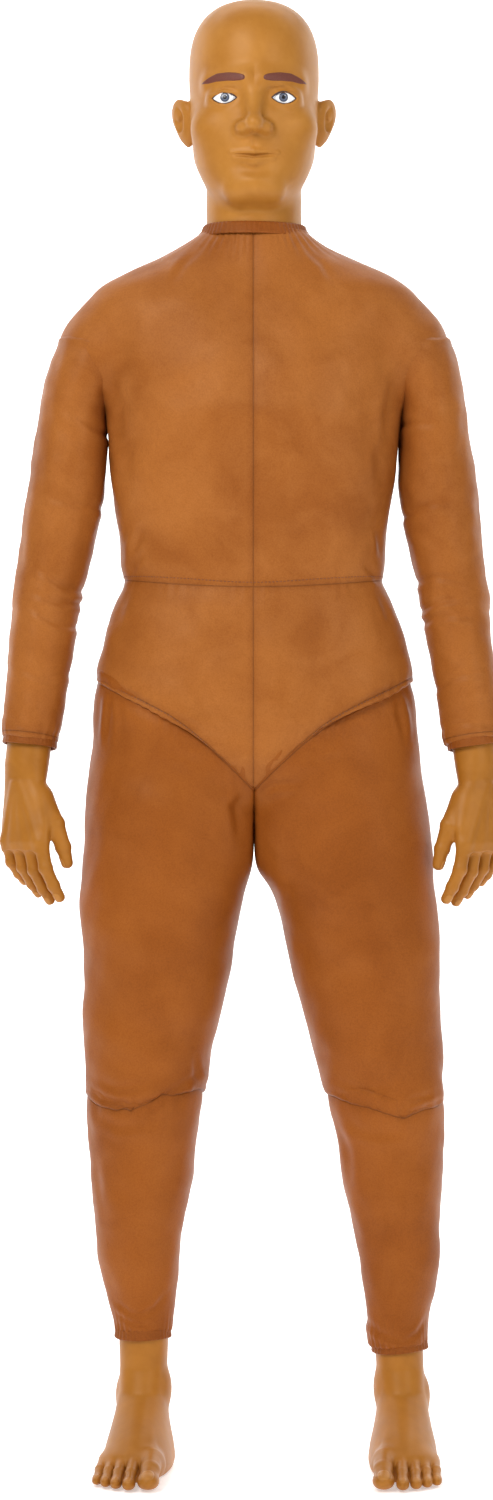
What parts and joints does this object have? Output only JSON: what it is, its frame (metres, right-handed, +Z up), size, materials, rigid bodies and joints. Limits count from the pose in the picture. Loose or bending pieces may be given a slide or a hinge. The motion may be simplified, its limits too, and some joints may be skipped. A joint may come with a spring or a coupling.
{
  "type": "body opponent mannequin",
  "caption": "Life-size padded training mannequin with vinyl head, hands and feet on a sewn leatherette body over a jointed steel frame.",
  "frame": {"origin": "on the floor, under the middle of the box around the standing figure", "axes": "+Z up, the figure faces -Y, its left side is +X"},
  "size_m": [0.6048, 0.3039, 1.75],
  "materials": {
    "leatherette": "satin grained leatherette",
    "foam": "open-cell foam",
    "steel_tube": "black paint",
    "zinc_hardware": "zinc plated",
    "hem": "satin grained leatherette, folded",
    "vinyl": "satin moulded vinyl",
    "nylon": "turned nylon"
  },
  "bodies": {
    "pelvis": {"pelvis_cover": "leatherette", "pelvis_padding": "foam", "hip_bar": "steel_tube", "hip_end_cap_right": "steel_tube", "hip_end_cap_left": "steel_tube", "spine_lower": "steel_tube", "waist_bolt": "zinc_hardware"},
    "chest": {"chest_cover": "leatherette", "chest_padding": "foam", "spine_upper": "steel_tube", "shoulder_bar": "steel_tube", "neck_post": "steel_tube", "neck_nut": "zinc_hardware", "collar_band": "hem"},
    "head": {"head": "vinyl", "neck_bushing": "nylon"},
    "shoulder_right": {"shoulder_hub_right": "steel_tube", "shoulder_bolt_right": "zinc_hardware"},
    "upper_arm_right": {"upper_sleeve_right": "leatherette", "upper_arm_padding_right": "foam", "upper_arm_tube_right": "steel_tube", "elbow_bolt_right": "zinc_hardware"},
    "forearm_right": {"lower_sleeve_right": "leatherette", "forearm_padding_right": "foam", "forearm_tube_right": "steel_tube", "wrist_band_right": "hem"},
    "hand_right": {"hand_right": "vinyl"},
    "thigh_right": {"thigh_cover_right": "leatherette", "thigh_padding_right": "foam", "thigh_tube_right": "steel_tube", "knee_bolt_right": "zinc_hardware"},
    "shin_right": {"shin_cover_right": "leatherette", "shin_padding_right": "foam", "shin_tube_right": "steel_tube", "ankle_band_right": "hem"},
    "foot_right": {"foot_right": "vinyl"},
    "shoulder_left": {"shoulder_hub_left": "steel_tube", "shoulder_bolt_left": "zinc_hardware"},
    "upper_arm_left": {"upper_sleeve_left": "leatherette", "upper_arm_padding_left": "foam", "upper_arm_tube_left": "steel_tube", "elbow_bolt_left": "zinc_hardware"},
    "forearm_left": {"lower_sleeve_left": "leatherette", "forearm_padding_left": "foam", "forearm_tube_left": "steel_tube", "wrist_band_left": "hem"},
    "hand_left": {"hand_left": "vinyl"},
    "thigh_left": {"thigh_cover_left": "leatherette", "thigh_padding_left": "foam", "thigh_tube_left": "steel_tube", "knee_bolt_left": "zinc_hardware"},
    "shin_left": {"shin_cover_left": "leatherette", "shin_padding_left": "foam", "shin_tube_left": "steel_tube", "ankle_band_left": "hem"},
    "foot_left": {"foot_left": "vinyl"}
  },
  "joints": [
    {"name": "waist_bend", "type": "hinge", "parent": "pelvis", "child": "chest", "pos_m": [0.00249, 0.03927, 1.05], "axis": [-1, 0, 0], "range_deg": [-25, 10]},
    {"name": "neck_turn", "type": "hinge", "parent": "chest", "child": "head", "pos_m": [0.00249, 0.03927, 1.466], "axis": [0, 0, 1], "range_deg": [-70, 70]},
    {"name": "shoulder_swing_right", "type": "hinge", "parent": "chest", "child": "shoulder_right", "pos_m": [-0.17151, 0.03927, 1.33], "axis": [-1, 0, 0], "range_deg": [-35, 150]},
    {"name": "shoulder_raise_right", "type": "hinge", "parent": "shoulder_right", "child": "upper_arm_right", "pos_m": [-0.17151, 0.03927, 1.33], "axis": [0, 1, 0], "range_deg": [0, 75]},
    {"name": "elbow_bend_right", "type": "hinge", "parent": "upper_arm_right", "child": "forearm_right", "pos_m": [-0.24506, 0.03927, 1.03503], "axis": [-0.9703, 0, 0.2419], "range_deg": [0, 80]},
    {"name": "wrist_turn_right", "type": "hinge", "parent": "forearm_right", "child": "hand_right", "pos_m": [-0.26617, 0.01736, 0.85661], "axis": [-0.1167, -0.121, -0.9858], "range_deg": [-10, 60]},
    {"name": "hip_swing_right", "type": "hinge", "parent": "pelvis", "child": "thigh_right", "pos_m": [-0.08951, 0.03927, 0.89], "axis": [-1, 0, 0], "range_deg": [-15, 90]},
    {"name": "knee_bend_right", "type": "hinge", "parent": "thigh_right", "child": "shin_right", "pos_m": [-0.12761, 0.03927, 0.44563], "axis": [0.9963, 0, -0.0854], "range_deg": [0, 90]},
    {"name": "ankle_turn_right", "type": "hinge", "parent": "shin_right", "child": "foot_right", "pos_m": [-0.12959, 0.03927, 0.16164], "axis": [-0.007, 0, -1], "range_deg": [-15, 15]},
    {"name": "shoulder_swing_left", "type": "hinge", "parent": "chest", "child": "shoulder_left", "pos_m": [0.17649, 0.03927, 1.33], "axis": [-1, 0, 0], "range_deg": [-35, 150]},
    {"name": "shoulder_raise_left", "type": "hinge", "parent": "shoulder_left", "child": "upper_arm_left", "pos_m": [0.17649, 0.03927, 1.33], "axis": [0, -1, 0], "range_deg": [0, 75]},
    {"name": "elbow_bend_left", "type": "hinge", "parent": "upper_arm_left", "child": "forearm_left", "pos_m": [0.24229, 0.03927, 1.03321], "axis": [-0.9763, 0, -0.2164], "range_deg": [0, 80]},
    {"name": "wrist_turn_left", "type": "hinge", "parent": "forearm_left", "child": "hand_left", "pos_m": [0.26591, 0.0174, 0.85509], "axis": [-0.1305, 0.1208, 0.9841], "range_deg": [-10, 60]},
    {"name": "hip_swing_left", "type": "hinge", "parent": "pelvis", "child": "thigh_left", "pos_m": [0.09449, 0.03927, 0.89], "axis": [-1, 0, 0], "range_deg": [-15, 90]},
    {"name": "knee_bend_left", "type": "hinge", "parent": "thigh_left", "child": "shin_left", "pos_m": [0.15887, 0.03927, 0.44867], "axis": [0.9895, 0, 0.1444], "range_deg": [0, 90]},
    {"name": "ankle_turn_left", "type": "hinge", "parent": "shin_left", "child": "foot_left", "pos_m": [0.17472, 0.03927, 0.16511], "axis": [0.0558, 0, -0.9984], "range_deg": [-15, 15]}
  ]
}
